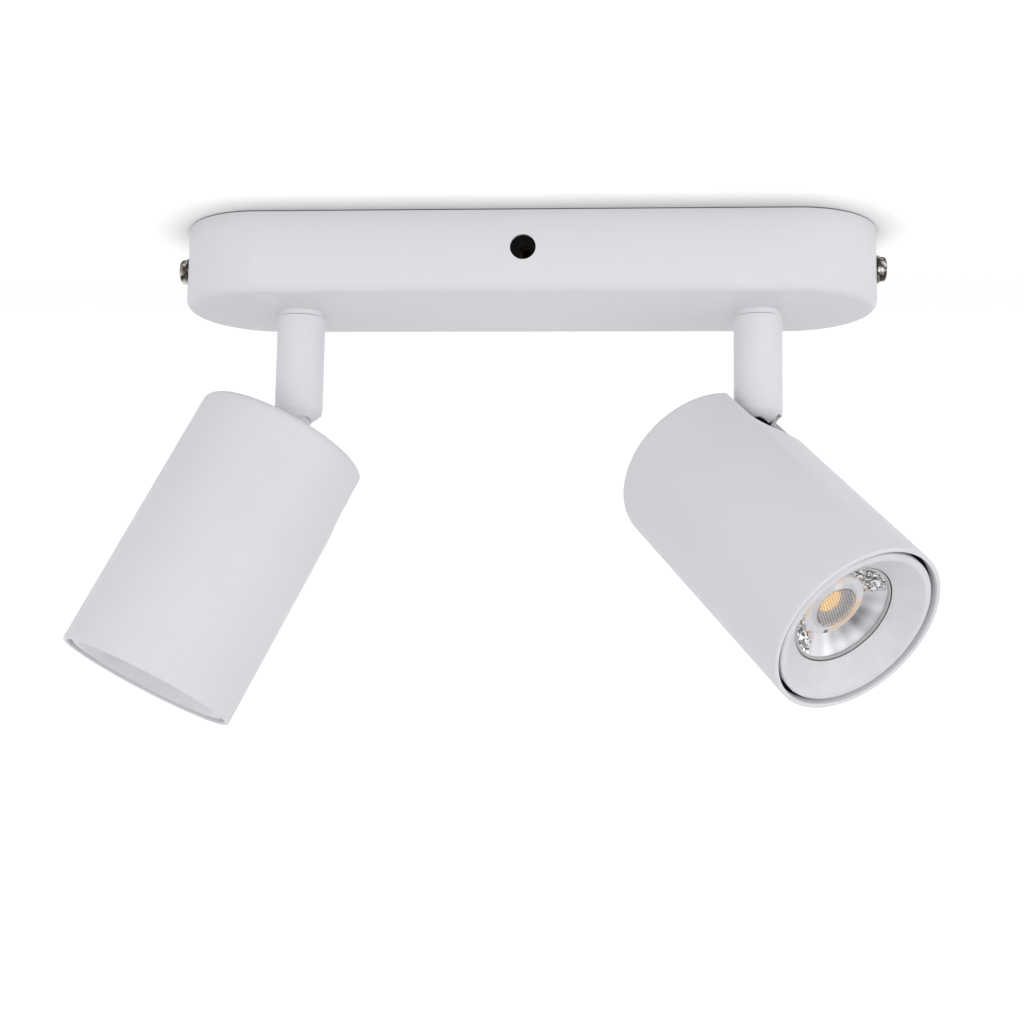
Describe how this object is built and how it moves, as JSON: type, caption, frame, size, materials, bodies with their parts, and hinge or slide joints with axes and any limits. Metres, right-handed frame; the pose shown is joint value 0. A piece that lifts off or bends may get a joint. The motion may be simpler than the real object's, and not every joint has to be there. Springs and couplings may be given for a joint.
{
  "type": "two-head pivoting spotlight wall light",
  "caption": "Flat bar spotlight for wall or ceiling: short arms with ball joints under a round-ended bar, each carrying a hinged cylindrical lamp head with a reflector lamp.",
  "frame": {"origin": "middle of the two screw slots, in the face that lies against the wall or ceiling", "axes": "+Z out of the mounting face, into the wall or ceiling; +X along the bar; the heads hang towards -Z and the cable entry faces -Y"},
  "size_m": [0.2792, 0.1044, 0.1694],
  "materials": {
    "white_paint": "satin powder coat",
    "zinc_steel": "zinc plated",
    "nickel": "nickel plated",
    "white_nylon": "matte",
    "brass": "turned",
    "lead_insulation": "matte",
    "ceramic": "glazed",
    "lamp_shell": "silvery grey coat",
    "board": "matte",
    "phosphor": "matte",
    "lens_glass": "clear, with moulded facets"
  },
  "bodies": {
    "base": {"base_cover": "white_paint", "mounting_strip": "zinc_steel", "cover_screws": "nickel", "cover_washers": "nickel", "terminal_block": "white_nylon", "terminal_sleeves": "brass", "terminal_screws": "zinc_steel", "block_screw": "zinc_steel", "earth_screw": "zinc_steel", "nipples": "zinc_steel", "nipple_nuts": "zinc_steel", "nipple_lock_washers": "zinc_steel", "arm_collars": "white_paint", "arm_nuts": "zinc_steel", "friction_washer_left": "white_nylon", "friction_washer_right": "white_nylon", "supply_leads": "lead_insulation"},
    "arm_body_left": {"arm_left": "white_paint", "arm_insert_left": "white_nylon", "ball_seat_left": "white_nylon", "disc_springs_left": "zinc_steel", "snap_ring_left": "zinc_steel"},
    "link_body_left": {"ball_stud_left": "white_paint", "link_eye_left": "nickel"},
    "head_body_left": {"head_housing_left": "white_paint", "hinge_bracket_left": "zinc_steel", "hinge_pin_left": "zinc_steel", "hinge_washers_left": "white_nylon", "rear_screws_left": "zinc_steel", "lamp_holder_left": "ceramic", "holder_screws_left": "zinc_steel", "lamp_body_left": "lamp_shell", "lamp_pins_left": "brass", "led_board_left": "board", "led_chip_left": "phosphor", "lamp_lens_left": "lens_glass", "trim_ring_left": "white_paint", "trim_clips_left": "zinc_steel"},
    "arm_body_right": {"arm_right": "white_paint", "arm_insert_right": "white_nylon", "ball_seat_right": "white_nylon", "disc_springs_right": "zinc_steel", "snap_ring_right": "zinc_steel"},
    "link_body_right": {"ball_stud_right": "white_paint", "link_eye_right": "nickel"},
    "head_body_right": {"head_housing_right": "white_paint", "hinge_bracket_right": "zinc_steel", "hinge_pin_right": "zinc_steel", "hinge_washers_right": "white_nylon", "rear_screws_right": "zinc_steel", "lamp_holder_right": "ceramic", "holder_screws_right": "zinc_steel", "lamp_body_right": "lamp_shell", "lamp_pins_right": "brass", "led_board_right": "board", "led_chip_right": "phosphor", "lamp_lens_right": "lens_glass", "trim_ring_right": "white_paint", "trim_clips_right": "zinc_steel"}
  },
  "joints": [
    {"name": "pan_left", "type": "hinge", "parent": "base", "child": "arm_body_left", "pos_m": [-0.0784, 0, -0.0623], "axis": [0, 0, 1], "range_deg": [-175, 175]},
    {"name": "tilt_left", "type": "hinge", "parent": "arm_body_left", "child": "link_body_left", "pos_m": [-0.0784, 0, -0.0623], "axis": [-0.4617, 0.887, 0], "range_deg": [-48, 14.9]},
    {"name": "nod_left", "type": "hinge", "parent": "link_body_left", "child": "head_body_left", "pos_m": [-0.09052, -0.00631, -0.08901], "axis": [-0.4617, 0.887, 0], "range_deg": [-87, 0]},
    {"name": "pan_right", "type": "hinge", "parent": "base", "child": "arm_body_right", "pos_m": [0.0784, 0, -0.0623], "axis": [0, 0, 1], "range_deg": [-175, 175]},
    {"name": "tilt_right", "type": "hinge", "parent": "arm_body_right", "child": "link_body_right", "pos_m": [0.0784, 0, -0.0623], "axis": [0.1478, 0.989, 0], "range_deg": [-34, 21.9]},
    {"name": "nod_right", "type": "hinge", "parent": "link_body_right", "child": "head_body_right", "pos_m": [0.0682, 0.00152, -0.09047], "axis": [0.6562, 0.7282, -0.1981], "range_deg": [-20, 67]}
  ]
}
